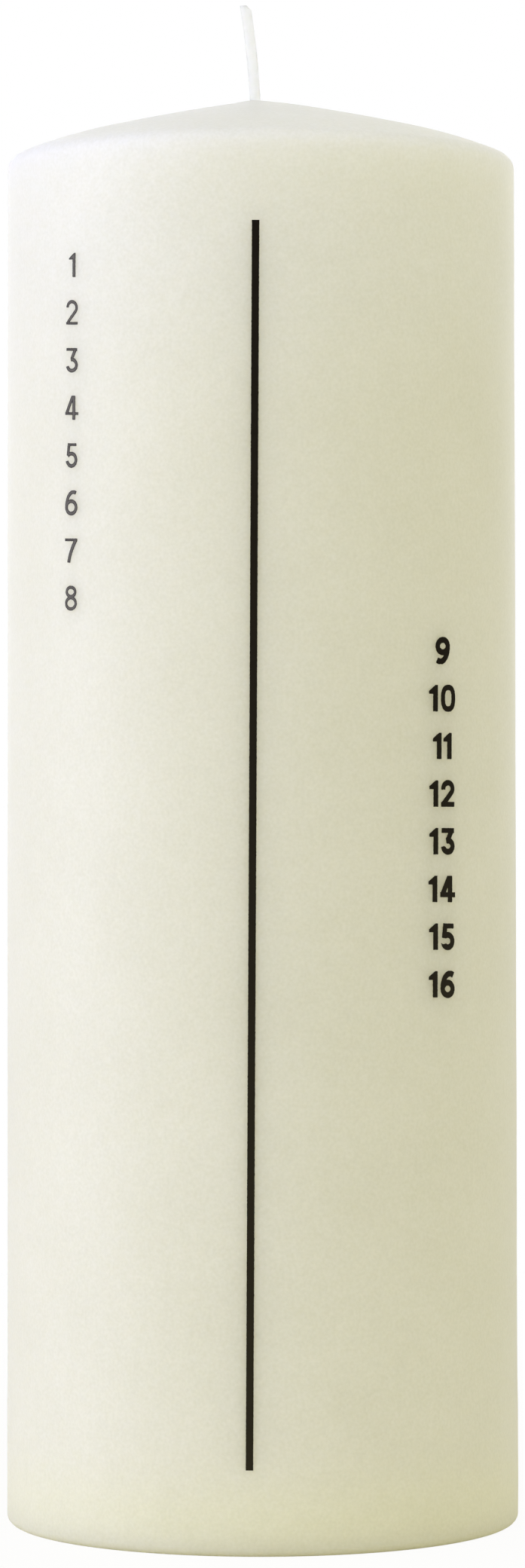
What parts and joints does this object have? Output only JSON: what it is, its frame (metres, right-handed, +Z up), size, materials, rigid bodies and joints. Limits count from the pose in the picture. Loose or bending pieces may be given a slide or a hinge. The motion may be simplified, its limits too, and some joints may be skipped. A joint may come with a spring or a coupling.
{
  "type": "calendar candle",
  "caption": "Tall ivory pillar candle with a domed top, a cotton wick and a printed day scale down the front to burn along.",
  "frame": {"origin": "centre of the base, on the surface that the candle stands on", "axes": "+Z up along the candle, -Y towards the front with the printed line, +X to the right as the scale is read"},
  "size_m": [0.07, 0.0701, 0.2076],
  "materials": {
    "wax": "cast ivory wax, satin, slightly translucent",
    "cotton": "braided cotton cord primed with wax",
    "tinplate": "rolled tinplate, bright",
    "ink": "screen-printed ink film, near black"
  },
  "bodies": {
    "root": {"wax_body": "wax", "wick": "cotton", "wick_sustainer": "tinplate", "printed_line": "ink"}
  },
  "joints": []
}
